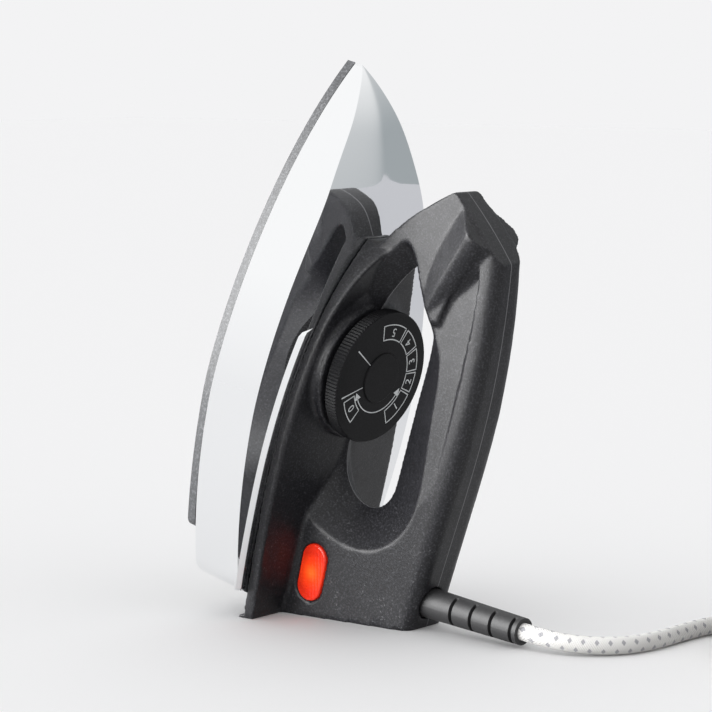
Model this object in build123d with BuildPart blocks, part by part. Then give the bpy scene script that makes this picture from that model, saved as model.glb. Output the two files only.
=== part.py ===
"""Dry clothes iron with a chrome cover, standing on its heel, in millimetres.

The iron is drawn lying on its sole: the nose tip is at the origin, +X runs forward, +Y to the
left and +Z up from the sole's face. The finished pieces are then stood up on the heel, so that
+Z is up, the sole faces -X and leans back over the heel. The mains lead is drawn as it lies.
"""

import math
import os

from build123d import *

# Stand: the sole leans this much from upright, and the heel lies this far behind the nose
stand_lean = 14.0
heel_reach = 240.1

# Soleplate
sole_length = 200.0
sole_half_width = 53.0
sole_widest = 140.0
sole_rear_half = 47.4
sole_nose_angle = 40.6
sole_nose_reach = 56.6
sole_belly_reach = 31.0
sole_corner = 5.0
sole_rim = 4.0
casting_top = 10.0
casting_margin = 9.0
pillar_diameter = 11.0

# Heating element, bent to a U and let into the casting
heater_diameter = 7.0
heater_half_gap = 27.0
heater_rear = 191.5
heater_shoulder = 110.0
heater_front = 50.0
heater_front_half = 8.5
heater_bend = 8.0
heater_proud = 0.5
heater_pin_diameter = 3.0
heater_pin_length = 9.0

# Chrome cover
cover_length = 222.0
cover_half_width = 53.6
cover_widest = 142.0
cover_rear_half = 40.8
cover_nose_angle = 41.4
cover_nose_reach = 57.0
cover_belly_reach = 32.0
cover_corner = 8.0
cover_wall = 0.9
cover_base = 4.4
cover_draft = 0.6
skirt_height = 30.0
land_height = 1.0
land_margin = 5.2
land_front = 104.0
land_rear = 219.0
# Deck sections: place behind the nose, crown height, half span and rise of the half ellipse
deck_sections = [
    (-6.0, 1.6, 3.8, 1.5),
    (8.0, 14.8, 9.0, 2.5),
    (22.0, 23.8, 18.8, 5.1),
    (40.0, 30.6, 29.6, 9.5),
    (60.0, 35.2, 38.8, 13.5),
    (84.0, 34.8, 48.2, 11.6),
    (112.0, 32.4, 56.2, 7.1),
    (142.0, 31.0, 59.8, 4.7),
    (172.0, 30.6, 58.2, 4.2),
    (202.0, 30.2, 54.0, 3.6),
    (232.0, 29.4, 47.6, 2.9),
]
deck_floor = -30.0

# Handle: one moulding with flange, post, head, grip and heel block
seat_gap = 0.3
block_half = 17.0
block_top_half = 11.0
block_foot = 26.0
grip_crown = 104.9
head_tip = (-35.5, 72.5)
head_top = (-57.8, 101.0)
head_half = 16.0
head_depth = 40.0
grip_rounding = 5.5
grip_front = 62.0
grip_rear = 205.0
flange_tip = 57.0
flange_nose_angle = 51.0
flange_nose_reach = 33.4
flange_belly_reach = 50.0
flange_widest = 175.0
flange_half_width = 38.4
flange_rear_half = 34.5
flange_height = 33.8
finger_depth = 18.0

# Dial
dial_place = 122.9
dial_radius = 28.5
dial_top = 48.8
dial_rim = 6.0
dial_neck_radius = 24.5
dial_neck_wall = 2.5
dial_hub_radius = 7.0
dial_wall = 2.2
dial_gap = 0.3
dial_bevel = 0.6
dial_hollow_inner = 9.0
knurl_count = 120
knurl_depth = 0.45
collar_radius = 29.0
collar_top = 40.8
hub_depth = 4.6
cap_radius = 11.0
cap_seat = 0.8
cap_rise = 0.5
cap_clearance = 0.15
cap_edge = 0.4
spindle_diameter = 6.0
running_clearance = 0.05
spindle_head = 45.0
washer_thickness = 0.5
washer_radius = 6.8

# Thermostat, on the casting under the dial
boss_top = 12.5
boss_size = 15.0
strip_width = 12.0
strip_thickness = 1.2
stack_place = 152.0
stack_half = 6.0
blade_thickness = 0.9
spring_thickness = 0.4
spring_width = 8.0
spacer_height = 1.6
rivet_radius = 1.5
rivet_clearance = 0.1
rivet_head_radius = 2.8
rivet_head_height = 1.0
upright_offset = 7.0
arm_reach = 8.0
arm_top = 26.0
blade_gap = 1.4
contact_offset = 5.5
contact_radius = 1.6
contact_height = 0.6

# Thermal fuse, beside the rear pillar on the casting
fuse_place = (-180.0, 14.0)
fuse_radius = 2.2
fuse_length = 14.0
fuse_lead_radius = 0.5
fuse_lead_length = 6.0

# Rear closing plate, from the sole's rim to the cover's rear wall
closing_plate = 1.0

# Screws
screw_shank = 4.0
screw_head_diameter = 7.6
screw_head_height = 2.6
screw_clearance = 0.25
screw_seat = 0.9
cover_screw_places = [84.0, 172.0]
handle_screw_places = [72.0, 192.0]
handle_screw_bite = 10.0
cover_screw_length = 12.0

# Heel: hollow for the connections, with its lid and the pilot lamp
cavity_depth = 21.5
cavity_half = 10.5
cavity_low = 38.0
cavity_high = 88.0
lid_thickness = 2.4
lid_sink = 0.8
lid_margin = 2.0
lid_clearance = 0.2
lid_corner = 2.5
block_length = 20.0
block_height = 9.0
block_bite = 2.0
terminal_radius = 2.2
lens_place = (-209.0, 45.2)
lens_length = 25.0
lens_width = 12.6
lens_clearance = 0.15
lens_face = 16.5
lens_depth = 5.0
lens_edge = 0.8
window_rim = 2.0
lamp_radius = 2.8
lamp_length = 12.0
lamp_offset = 6.5
lamp_setback = 1.0
holder_wall = 0.9
holder_width = 3.0
holder_leg = 10.5
clamp_place = 82.5
clamp_length = 6.0
clamp_height = 14.0
clamp_screw_half = 7.0
clamp_screw_radius = 1.5
wire_radius = 1.1
wire_bend = 3.0
wire_end_gap = 0.8
wire_entry_depth = 17.0
wire_hole_pitch = 2.7
wire_entry_sides = [-6.6, -3.2, 0.2]
wire_hole = 9.0
wire_hole_place = 215.0
wire_heights = [40.0, 26.0]

# Mains lead: strain relief, cord, coil with its tie, plug
cord_diameter = 7.2
relief_place = (-207.15, 81.3)
relief_length = 66.0
relief_root_radius = 6.6
relief_end_radius = 5.6
relief_collar_radius = 8.0
relief_collar_width = 2.6
relief_bore_clearance = 0.2
relief_lift = 9.0
relief_sweep = 4.0
relief_slot_count = 8
relief_slot_pitch = 5.2
relief_slot_width = 1.7
relief_first_slot = 26.0
relief_bridge = 1.6
cord_tail_in = 10.0
cord_floor = 3.7
cord_first_run = 12.0
bend_share = 0.45
coil_center = (182.2, 56.7)
coil_entry_angle = 100.0
coil_turns_across = 2
coil_layers = 3
coil_mean_radius = 38.0
coil_lift = 1.0
tie_angle = -20.0
tie_width = 8.0
tie_thickness = 0.8
tie_slack = 0.1
tie_sag = 0.3
tail_start = 260.0
tail_step = 20.0
tail_heights = [19.0, 20.4, 23.2, 25.6, 26.6, 27.2, 28.2, 29.7, 30.8, 30.8]
plug_length = 30.0
plug_width = 26.0
plug_height = 16.0
plug_neck = 10.5
plug_shoulder = 12.0
plug_shoulder_width = 20.0
plug_shoulder_height = 13.0
plug_corner = 4.0
pin_spacing = 12.7
pin_width = 6.3
pin_thickness = 1.5
pin_length = 16.0

lean = math.radians(stand_lean)
heel_slope = math.tan(lean)


def heel_x(height):
    """Where the heel plane lies at a height above the sole's face."""
    return -heel_reach + height * heel_slope


def leaf_line(tip, angle, reach, belly, widest, half_width, rear, rear_half, grow):
    """Half of a leaf-shaped plan, grown all round: nose, flank, widest place, rear."""
    turn = math.radians(angle)
    front = -tip + grow / math.sin(turn)
    side = half_width + grow
    end = -rear - grow
    Bezier(
        (front, 0),
        (front - reach * math.cos(turn), reach * math.sin(turn)),
        (-widest + belly, side),
        (-widest, side),
    )
    TangentArc((-widest, side), (end, rear_half + grow), tangent=(-1, 0))
    Polyline((end, rear_half + grow), (end, 0), (front, 0))


def sole_plan(grow):
    leaf_line(0, sole_nose_angle, sole_nose_reach, sole_belly_reach, sole_widest,
              sole_half_width, sole_length, sole_rear_half, grow)


def cover_plan(grow):
    leaf_line(0, cover_nose_angle, cover_nose_reach, cover_belly_reach, cover_widest,
              cover_half_width, cover_length, cover_rear_half, grow)


def flange_plan(grow):
    leaf_line(flange_tip, flange_nose_angle, flange_nose_reach, flange_belly_reach,
              flange_widest, flange_half_width, heel_reach, flange_rear_half, grow)


def plan_sketch(plan, height, grow=0.0, corner=0.0):
    """A whole plan at a height, drawn from its half, with rounded rear corners."""
    with BuildSketch(Plane.XY.offset(height)) as sketch:
        with BuildLine():
            plan(grow)
        make_face()
        mirror(about=Plane.XZ)
        if corner:
            fillet(sketch.vertices().group_by(Axis.X)[0], corner)
    return sketch.sketch


def deck_body(lift):
    """What lies under the deck's surface, with that surface raised by a lift."""
    with BuildPart() as body:
        for place, crown, span, rise in deck_sections:
            spring = crown + lift - rise
            section = Plane(origin=(-place, 0, spring), x_dir=(0, 1, 0), z_dir=(1, 0, 0))
            with BuildSketch(section):
                with BuildLine():
                    EllipticalCenterArc((0, 0), span, rise, 0, arc_size=180)
                    Polyline((-span, 0), (-span, deck_floor), (span, deck_floor), (span, 0))
                make_face()
        loft()
    return body.part


def deck_height(place):
    """The deck's height on its crown, between the sections to both sides of a place."""
    for (near, low, _, _), (far, high, _, _) in zip(deck_sections, deck_sections[1:]):
        if near <= place <= far:
            return low + (high - low) * (place - near) / (far - near)


def cover_block(inset, base):
    """The cover's outer or inner form: a drafted skirt cut off by the deck."""
    with BuildPart() as block:
        add(plan_sketch(cover_plan, base, -inset, cover_corner))
        add(plan_sketch(cover_plan, base + skirt_height * 2, -inset - cover_draft * 2, cover_corner))
        loft()
        add(deck_body(-inset), mode=Mode.INTERSECT)
    return block.part


# Soleplate: a rim, the casting on it with the heater's groove, two pillars and a boss
heater_height = casting_top + heater_proud
heater_path_points = [
    (-heater_rear, -heater_half_gap, heater_height),
    (-heater_shoulder, -heater_half_gap, heater_height),
    (-heater_front, -heater_front_half, heater_height),
    (-heater_front, heater_front_half, heater_height),
    (-heater_shoulder, heater_half_gap, heater_height),
    (-heater_rear, heater_half_gap, heater_height),
]
heater_start = Plane(origin=heater_path_points[0], z_dir=(1, 0, 0))


def heater_tube(radius):
    """A tube along the heater's U."""
    with BuildPart() as tube:
        with BuildLine():
            FilletPolyline(*heater_path_points, radius=heater_bend)
        with BuildSketch(heater_start):
            Circle(radius)
        sweep()
    return tube.part


with BuildPart() as soleplate:
    add(plan_sketch(sole_plan, 0, corner=sole_corner))
    extrude(amount=sole_rim)
    add(plan_sketch(sole_plan, sole_rim, -casting_margin, sole_corner))
    extrude(amount=casting_top - sole_rim)
    with BuildSketch(Plane.XY.offset(casting_top)):
        with Locations((-(dial_place + stack_place) / 2, 0)):
            Rectangle(stack_place - dial_place + boss_size, boss_size)
    extrude(amount=boss_top - casting_top)
    with BuildSketch(Plane.XY.offset(casting_top)):
        with Locations(*[(-place, 0) for place in cover_screw_places]):
            Circle(pillar_diameter / 2)
    extrude(amount=skirt_height)
    add(heater_tube(heater_diameter / 2 + screw_clearance), mode=Mode.SUBTRACT)
    add(deck_body(-cover_wall - seat_gap), mode=Mode.INTERSECT)
    with Locations(*[(-place, 0, casting_top + skirt_height) for place in cover_screw_places]):
        Hole(screw_shank / 2 + screw_clearance, depth=skirt_height)

with BuildPart() as heating_element:
    add(heater_tube(heater_diameter / 2))

with BuildPart() as heater_terminals:
    with BuildSketch(Plane(origin=(-heater_rear, 0, heater_height), z_dir=(-1, 0, 0))):
        with Locations((0, heater_half_gap), (0, -heater_half_gap)):
            Circle(heater_pin_diameter / 2)
    extrude(amount=heater_pin_length)


# Chrome cover: the drafted skirt under the deck, hollow, with a land beside the handle's flange
def land_strips():
    """The two raised strips of deck beside the handle's flange."""
    with BuildPart() as strips:
        add(plan_sketch(flange_plan, cover_base, land_margin))
        extrude(amount=skirt_height * 2)
        add(plan_sketch(flange_plan, cover_base, 2 * seat_gap))
        extrude(amount=skirt_height * 2, mode=Mode.SUBTRACT)
        with Locations((-(land_front + land_rear) / 2, 0, skirt_height)):
            Box(land_rear - land_front, 4 * cover_half_width, 4 * skirt_height, mode=Mode.INTERSECT)
        add(deck_body(land_height), mode=Mode.INTERSECT)
        add(deck_body(-cover_wall / 2), mode=Mode.SUBTRACT)
    return strips.part


with BuildPart() as chrome_cover:
    add(cover_block(0, cover_base))
    add(cover_block(cover_wall, cover_base - 1), mode=Mode.SUBTRACT)
    add(land_strips())
    deck_holes = [(place, screw_shank / 2 + screw_clearance) for place in cover_screw_places]
    deck_holes += [(place, screw_shank / 2 + screw_clearance) for place in handle_screw_places]
    deck_holes += [(dial_place, spindle_diameter), (wire_hole_place, wire_hole / 2)]
    for place, radius in deck_holes:
        with Locations((-place, 0, skirt_height * 2)):
            Hole(radius, depth=skirt_height * 1.5)


# Handle
post_foot = (-76.0, block_foot)


def flange_body():
    """The leaf-shaped flange on the cover, whose edge sweeps up into the front post."""
    with BuildPart() as body:
        add(plan_sketch(flange_plan, block_foot))
        extrude(amount=grip_crown)
        with BuildSketch(Plane.XZ):
            with BuildLine():
                Spline((-flange_tip, 58.0), (-70.0, 46.5), (-91.0, 39.0), (-118.0, 35.2),
                       (-165.0, flange_height), (-heel_reach, flange_height))
                Polyline((-heel_reach, flange_height), (-heel_reach, 0), post_foot, (-70.6, 38.0),
                         (-58.3, 47.8), (-flange_tip, 50.0), (-flange_tip, 58.0))
            make_face()
        extrude(amount=2 * flange_half_width, both=True, mode=Mode.INTERSECT)
    return body.part


def finger_cut():
    """The finger opening: narrow in the middle plane, flaring out to each side."""
    with BuildPart() as cut:
        with BuildSketch(Plane.XZ):
            with BuildLine():
                Spline((-70, 58), (-84, 47.5), (-97, 41.5), (-123, 37), (-150, 39.5), (-167, 41.5),
                       (-176, 50), (-177, 58), (-171, 65.5), (-160, 67.8), (-125, 69.8), (-98, 71),
                       (-86, 69), periodic=True)
            make_face()
        with BuildSketch(Plane.XZ.offset(-finger_depth)):
            with BuildLine():
                Spline((-57, 47), (-75, 38), (-92, 31), (-123, 28), (-150, 28), (-184, 31),
                       (-191, 43), (-195, 59), (-193, 75), (-181, 91), (-125, 96), (-96, 91),
                       (-80, 72), periodic=True)
            make_face()
        loft()
        mirror(about=Plane.XZ)
    return cut.part


def side_panels():
    """The shallow panels in the grip's sides, which leave a bar under the head and a rib behind."""
    with BuildPart() as panels:
        with BuildSketch(Plane.XZ):
            with BuildLine():
                Polyline((-172, 60), (-93, 60), (-89, 79), (-58, 85))
                Spline((-58, 85), (-56, 88.5), (-61, 92.3), (-72, 94.3), tangents=[(0.6, 0.8), (-1, 0.2)])
                Spline((-72, 94.3), (-90, 95.6), (-121.8, 96), (-150, 94.6), (-172, 92))
                Line((-172, 92), (-172, 60))
            make_face()
        extrude(amount=2 * block_half, both=True)
        with BuildSketch(Plane.XY):
            with BuildLine():
                Spline((-40, 5.4), (-62, 6.4), (-78, 7.8), (-100, 9.8), (-130, 11.3), (-176, 13.6))
                Polyline((-176, 13.6), (-176, 0), (-40, 0), (-40, 5.4))
            make_face()
            mirror(about=Plane.XZ)
        extrude(amount=2 * grip_crown, mode=Mode.SUBTRACT)
    return panels.part


def head_block():
    """The head across the front of the grip, with wings that run out along the grip's sides."""
    slope = math.atan2(head_top[1] - head_tip[1], head_top[0] - head_tip[0])
    along = (math.cos(slope), 0, math.sin(slope))
    face = Plane(origin=(head_tip[0], 0, head_tip[1]), x_dir=along,
                 z_dir=(-math.sin(slope), 0, math.cos(slope)))
    with BuildPart() as block:
        with BuildSketch(face):
            with BuildLine():
                Spline((0, 7), (8, 8.4), (15, 13.2), (20, head_half))
                Spline((20, head_half), (25, 14.6), (27.5, 11.2))
                Polyline((27.5, 11.2), (32.2, 7), (32.2, 0), (0, 0), (0, 7))
            make_face()
            mirror(about=Plane.XZ)
        with BuildSketch(face.offset(head_depth)):
            with BuildLine():
                Spline((0, 6), (12, 7.5), (22, 9.6), (30, 11.2))
                Spline((30, 11.2), (33.5, 9.6), (35.5, 7.2))
                Polyline((35.5, 7.2), (38, 5), (38, 0), (0, 0), (0, 6))
            make_face()
            mirror(about=Plane.XZ)
        loft()
    return block.part


heel = Plane(origin=(-heel_reach, 0, 0), x_dir=(math.sin(lean), 0, math.cos(lean)),
             z_dir=(math.cos(lean), 0, -math.sin(lean)))
heel_top_height = 97.0
heel_top = (heel_x(heel_top_height), heel_top_height)
heel_foot = (heel_x(block_foot), block_foot)
cavity_middle = (cavity_low + cavity_high) / 2 / math.cos(lean)
cavity_length = (cavity_high - cavity_low) / math.cos(lean)
relief_tilt = math.radians(relief_lift)
relief_turn = math.radians(relief_sweep)
relief_way = Vector(math.sin(relief_tilt), math.sin(relief_turn),
                    math.sqrt(1 - math.sin(relief_tilt) ** 2 - math.sin(relief_turn) ** 2))
relief_root = Plane(origin=(relief_place[0], 0, relief_place[1]), x_dir=(0, 1, 0), z_dir=relief_way)
lens_plane = Plane.XZ.offset(-lens_face)


def lens_outline(clearance):
    """The lamp lens, a stadium along the heel's side, grown by a clearance."""
    with Locations(lens_place):
        SlotOverall(lens_length + 2 * clearance, lens_width + 2 * clearance)


with BuildPart() as handle:
    with BuildSketch(Plane.XZ):
        with BuildLine():
            ThreePointArc(head_tip, (-46.2, 87.6), head_top)
            Spline(head_top, (-90, 104.3), (-121.8, grip_crown), (-162.5, 102), heel_top)
            Polyline(heel_top, heel_foot, post_foot)
            Spline(post_foot, (-70.6, 38), (-58.3, 47.8), (-46, 59.5), head_tip)
        make_face()
    extrude(amount=block_half, both=True)
    with BuildSketch(Plane.YZ):
        with BuildLine():
            Polyline((0, 0), (block_half, 0), (block_half, 34), (12.4, 94),
                     (block_top_half, grip_crown + 5), (0, grip_crown + 5), (0, 0))
        make_face()
        mirror(about=Plane.YZ)
    extrude(amount=2 * heel_reach, both=True, mode=Mode.INTERSECT)
    with BuildSketch(Plane.XY):
        with BuildLine():
            Spline((-20, 6), (-60, 9.5), (-84, 10.8), (-130, 12), (-165, 13.4), (-192, block_half),
                   (-heel_reach, block_half))
            Polyline((-heel_reach, block_half), (-heel_reach, 0), (-20, 0), (-20, 6))
        make_face()
        mirror(about=Plane.XZ)
    extrude(amount=2 * grip_crown, mode=Mode.INTERSECT)
    grip_edges = [edge for edge in handle.edges() if -grip_rear < edge.center().X < -grip_front
                  and edge.center().Z > grip_crown - block_half and abs(edge.center().Y) > block_top_half / 2]
    fillet(grip_edges, grip_rounding)
    add(side_panels(), mode=Mode.SUBTRACT)
    add(head_block())
    add(finger_cut(), mode=Mode.SUBTRACT)
    add(flange_body())
    with BuildSketch(Plane.XY.offset(block_foot)):
        with Locations((-dial_place, 0)):
            Circle(collar_radius)
    extrude(amount=collar_top - block_foot)
    split(bisect_by=heel, keep=Keep.TOP)
    add(deck_body(seat_gap), mode=Mode.SUBTRACT)
    with BuildSketch(heel):
        with Locations((cavity_middle, 0)):
            Rectangle(cavity_length, 2 * cavity_half)
    extrude(amount=cavity_depth, mode=Mode.SUBTRACT)
    with BuildSketch(heel):
        with Locations((cavity_middle, 0)):
            RectangleRounded(cavity_length + 2 * lid_margin, 2 * (cavity_half + lid_margin), lid_corner)
    extrude(amount=lid_sink + lid_thickness, mode=Mode.SUBTRACT)
    with BuildSketch(lens_plane):
        lens_outline(lens_clearance)
    extrude(amount=lens_depth + lens_clearance, mode=Mode.SUBTRACT)
    with BuildSketch(lens_plane):
        lens_outline(lens_clearance)
    extrude(amount=-block_half, mode=Mode.SUBTRACT)
    with BuildSketch(lens_plane):
        lens_outline(-window_rim)
    extrude(amount=lens_face - cavity_half / 2, mode=Mode.SUBTRACT)
    with BuildSketch(relief_root):
        Circle(relief_root_radius + seat_gap)
    extrude(amount=relief_length, mode=Mode.SUBTRACT)
    with BuildSketch(Plane.XY.offset(cavity_low)):
        with Locations((-wire_hole_place, 0)):
            Circle(wire_hole / 2)
    extrude(amount=-cavity_low, both=True, mode=Mode.SUBTRACT)
    with BuildSketch(Plane.XY.offset(collar_top)):
        with Locations((-dial_place, 0)):
            Circle(dial_hub_radius + dial_gap)
    extrude(amount=-hub_depth - washer_thickness - dial_gap, mode=Mode.SUBTRACT)
    with BuildSketch(Plane.XY.offset(collar_top)):
        with Locations((-dial_place, 0)):
            Circle(spindle_diameter / 2 + running_clearance)
    extrude(amount=-collar_top, mode=Mode.SUBTRACT)
    for place in handle_screw_places:
        with BuildSketch(Plane.XY):
            with Locations((-place, 0)):
                Circle(screw_shank / 2 + screw_clearance)
        extrude(amount=deck_height(place) + handle_screw_bite + 1, mode=Mode.SUBTRACT)
    for place in cover_screw_places:
        with BuildSketch(Plane.XY):
            with Locations((-place, 0)):
                Circle(screw_head_diameter / 2 + 2 * screw_clearance)
        extrude(amount=deck_height(place) + screw_seat + screw_head_height + seat_gap, mode=Mode.SUBTRACT)

# Screws: pan heads on the deck for the cover, under the deck for the handle
with BuildPart() as cover_screws:
    for place in cover_screw_places:
        seat = deck_height(place) + screw_seat
        with BuildSketch(Plane.XY.offset(seat)):
            with Locations((-place, 0)):
                Circle(screw_head_diameter / 2)
        extrude(amount=screw_head_height)
        with BuildSketch(Plane.XY.offset(seat)):
            with Locations((-place, 0)):
                Circle(screw_shank / 2)
        extrude(amount=-cover_screw_length)

with BuildPart() as handle_screws:
    for place in handle_screw_places:
        seat = deck_height(place) - cover_wall - screw_seat
        with BuildSketch(Plane.XY.offset(seat)):
            with Locations((-place, 0)):
                Circle(screw_head_diameter / 2)
        extrude(amount=-screw_head_height)
        with BuildSketch(Plane.XY.offset(seat)):
            with Locations((-place, 0)):
                Circle(screw_shank / 2)
        extrude(amount=handle_screw_bite)

# Heel lid with its screw
lid_screw_place = cavity_middle
with BuildPart() as rear_cover:
    with BuildSketch(heel.offset(lid_sink)):
        with Locations((cavity_middle, 0)):
            RectangleRounded(cavity_length + 2 * (lid_margin - lid_clearance),
                             2 * (cavity_half + lid_margin - lid_clearance), lid_corner)
    extrude(amount=lid_thickness)
    with BuildSketch(heel.offset(lid_sink)):
        with Locations((lid_screw_place, 0)):
            Circle(screw_head_diameter / 2 + screw_clearance)
    extrude(amount=lid_thickness / 2, mode=Mode.SUBTRACT)
    with BuildSketch(heel.offset(lid_sink)):
        with Locations((lid_screw_place, 0)):
            Circle(screw_shank / 2 + screw_clearance)
    extrude(amount=lid_thickness, mode=Mode.SUBTRACT)

lid_screw_seat = lid_sink + lid_thickness / 2
with BuildPart() as rear_cover_screw:
    with BuildSketch(heel.offset(lid_screw_seat)):
        with Locations((lid_screw_place, 0)):
            Circle(screw_head_diameter / 2)
    extrude(amount=-lid_thickness / 2)
    with BuildSketch(heel.offset(lid_screw_seat)):
        with Locations((lid_screw_place, 0)):
            Circle(screw_shank / 2)
    extrude(amount=cavity_depth - lid_screw_seat - block_bite)

# Connections inside the heel: the block is screwed to the cavity's floor
block_floor = heel.offset(cavity_depth)
with BuildPart() as terminal_block:
    with BuildSketch(block_floor):
        with Locations((cavity_middle, 0)):
            Rectangle(block_length, 2 * cavity_half - 2)
    extrude(amount=-block_height)
    with BuildSketch(block_floor.offset(-block_height)):
        with Locations((cavity_middle, 0)):
            Circle(screw_shank / 2 + screw_clearance)
    extrude(amount=block_height, mode=Mode.SUBTRACT)
    with BuildSketch(block_floor.offset(-block_height)):
        with Locations((cavity_middle, 0)):
            with GridLocations(block_length - 6, 2 * cavity_half - 10, 2, 2):
                Circle(terminal_radius + screw_clearance)
    extrude(amount=block_height / 2, mode=Mode.SUBTRACT)

with BuildPart() as terminal_screws:
    with BuildSketch(block_floor.offset(-block_height / 2)):
        with Locations((cavity_middle, 0)):
            with GridLocations(block_length - 6, 2 * cavity_half - 10, 2, 2):
                Circle(terminal_radius)
    extrude(amount=-block_height / 2)

# Pilot lamp: lens in the heel's left side, neon lamp behind it in a spring holder
with BuildPart() as lamp_lens:
    with BuildSketch(lens_plane):
        lens_outline(0)
    extrude(amount=lens_depth)
    fillet(lamp_lens.faces().sort_by(Axis.Y)[-1].edges(), lens_edge)

lamp_axis = Plane(origin=(lens_place[0] - lamp_setback, lamp_offset, lens_place[1]), z_dir=(-1, 0, 0))
holder_axis = lamp_axis.offset((lamp_length - holder_width) / 3)
with BuildPart() as neon_lamp:
    with BuildSketch(lamp_axis):
        Circle(lamp_radius)
    extrude(amount=lamp_length)
    fillet(neon_lamp.faces().sort_by(Axis.X)[0].edges(), lamp_radius * 0.8)

with BuildPart() as lamp_holder:
    with BuildSketch(holder_axis):
        Circle(lamp_radius + screw_clearance + holder_wall)
        with Locations((holder_leg / 2, 0)):
            Rectangle(holder_leg, holder_width)
        Circle(lamp_radius + screw_clearance, mode=Mode.SUBTRACT)
    extrude(amount=holder_width)

# Dial: knurled knob with its hub, cap, spindle and wave washer
dial_axis = Axis((-dial_place, 0, 0), (0, 0, 1))
dial_side = Plane(origin=(-dial_place, 0, 0), x_dir=(1, 0, 0), z_dir=(0, -1, 0))
rim_foot = dial_top - dial_rim
hub_foot = collar_top - hub_depth


def dial_plane(height):
    """A level plane on the dial's axis."""
    return Plane(origin=(-dial_place, 0, height))


def knurl_point(step):
    """A crest or a root of the knurl, by turns."""
    radius = dial_radius - knurl_depth * (step % 2)
    turn = math.pi * step / knurl_count
    return radius * math.cos(turn), radius * math.sin(turn)


with BuildPart() as dial_knob:
    with BuildSketch(dial_plane(rim_foot)):
        with BuildLine():
            Polyline(*[knurl_point(step) for step in range(2 * knurl_count)], close=True)
        make_face()
    extrude(amount=dial_rim)
    with BuildSketch(dial_side):
        with BuildLine():
            Polyline((0, rim_foot), (dial_radius - dial_bevel, rim_foot),
                     (dial_radius, rim_foot + dial_bevel), (dial_radius, dial_top - dial_bevel),
                     (dial_radius - dial_bevel, dial_top), (0, dial_top), (0, rim_foot))
        make_face()
    revolve(axis=dial_axis, mode=Mode.INTERSECT)
    with BuildSketch(dial_plane(rim_foot)):
        Circle(dial_neck_radius)
    extrude(amount=collar_top + dial_gap - rim_foot)
    with BuildSketch(dial_plane(collar_top)):
        Circle(dial_neck_radius - dial_neck_wall)
        Circle(dial_hollow_inner, mode=Mode.SUBTRACT)
    extrude(amount=dial_top - dial_wall - collar_top, mode=Mode.SUBTRACT)
    with BuildSketch(dial_plane(hub_foot)):
        Circle(dial_hub_radius)
    extrude(amount=dial_top - dial_wall - hub_foot)
    with BuildSketch(dial_plane(hub_foot)):
        Circle(spindle_diameter / 2 + running_clearance)
    extrude(amount=spindle_head - hub_foot, mode=Mode.SUBTRACT)
    with BuildSketch(dial_plane(dial_top - cap_seat)):
        Circle(cap_radius)
    extrude(amount=cap_seat, mode=Mode.SUBTRACT)

with BuildPart() as dial_cap:
    with BuildSketch(dial_plane(dial_top - cap_seat)):
        Circle(cap_radius - cap_clearance)
    extrude(amount=cap_seat + cap_rise)
    fillet(dial_cap.faces().sort_by(Axis.Z)[-1].edges(), cap_edge)

with BuildPart() as dial_spring:
    with BuildSketch(dial_plane(hub_foot - dial_gap - washer_thickness)):
        Circle(washer_radius)
        Circle(spindle_diameter / 2 + screw_clearance, mode=Mode.SUBTRACT)
    extrude(amount=washer_thickness)

# Thermostat: a bent frame on the boss, a riveted stack of blades, and the dial's spindle above it
stack_rear = stack_place + stack_half
frame_front = dial_place - upright_offset
frame_inner = frame_front + strip_thickness
stack_foot = boss_top + strip_thickness
blade_low = stack_foot + spacer_height
spring_low = blade_low + blade_thickness + spacer_height
spring_high = spring_low + spring_thickness + spacer_height
stack_top = spring_high + spring_thickness + spacer_height
spindle_foot = spring_high + spring_thickness + dial_gap


def leaf(height, thickness, width):
    """A leaf held in the stack, reaching forward under the spindle."""
    reach = stack_rear - frame_inner - blade_gap
    with BuildPart() as strip:
        with BuildSketch(Plane.XY.offset(height)):
            with Locations((reach / 2 - stack_rear, 0)):
                Rectangle(reach, width)
            with Locations((-stack_place, 0)):
                Circle(rivet_radius + rivet_clearance, mode=Mode.SUBTRACT)
        extrude(amount=thickness)
    return strip.part


with BuildPart() as thermostat_frame:
    with BuildSketch(Plane.XZ):
        with BuildLine():
            arm_rear = dial_place + arm_reach
            Polyline((-stack_rear, boss_top), (-frame_front, boss_top), (-frame_front, arm_top),
                     (-arm_rear, arm_top), (-arm_rear, arm_top - strip_thickness),
                     (-frame_inner, arm_top - strip_thickness), (-frame_inner, stack_foot),
                     (-stack_rear, stack_foot), close=True)
        make_face()
    extrude(amount=strip_width / 2, both=True)
    with Locations((-dial_place, 0, arm_top)):
        Hole(spindle_diameter / 2 + running_clearance, depth=2 * strip_thickness)
    with Locations((-stack_place, 0, stack_foot)):
        Hole(rivet_radius + rivet_clearance, depth=2 * strip_thickness)

with BuildPart() as dial_spindle:
    with BuildSketch(dial_plane(spindle_foot)):
        Circle(spindle_diameter / 2)
    extrude(amount=spindle_head - spindle_foot)

with BuildPart() as bimetal_blade:
    add(leaf(blade_low, blade_thickness, strip_width))

with BuildPart() as contact_springs:
    add(leaf(spring_low, spring_thickness, spring_width))
    add(leaf(spring_high, spring_thickness, spring_width))

with BuildPart() as thermostat_insulators:
    for foot in [stack_foot, blade_low + blade_thickness, spring_low + spring_thickness,
                 spring_high + spring_thickness]:
        with BuildSketch(Plane.XY.offset(foot)):
            with Locations((-stack_place, 0)):
                Rectangle(2 * stack_half, strip_width)
                Circle(rivet_radius + rivet_clearance, mode=Mode.SUBTRACT)
        extrude(amount=spacer_height)

with BuildPart() as stack_rivet:
    with BuildSketch(Plane.XY.offset(boss_top)):
        with Locations((-stack_place, 0)):
            Circle(rivet_radius)
    extrude(amount=stack_top - boss_top)
    with BuildSketch(Plane.XY.offset(stack_top)):
        with Locations((-stack_place, 0)):
            Circle(rivet_head_radius)
    extrude(amount=rivet_head_height)

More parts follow.
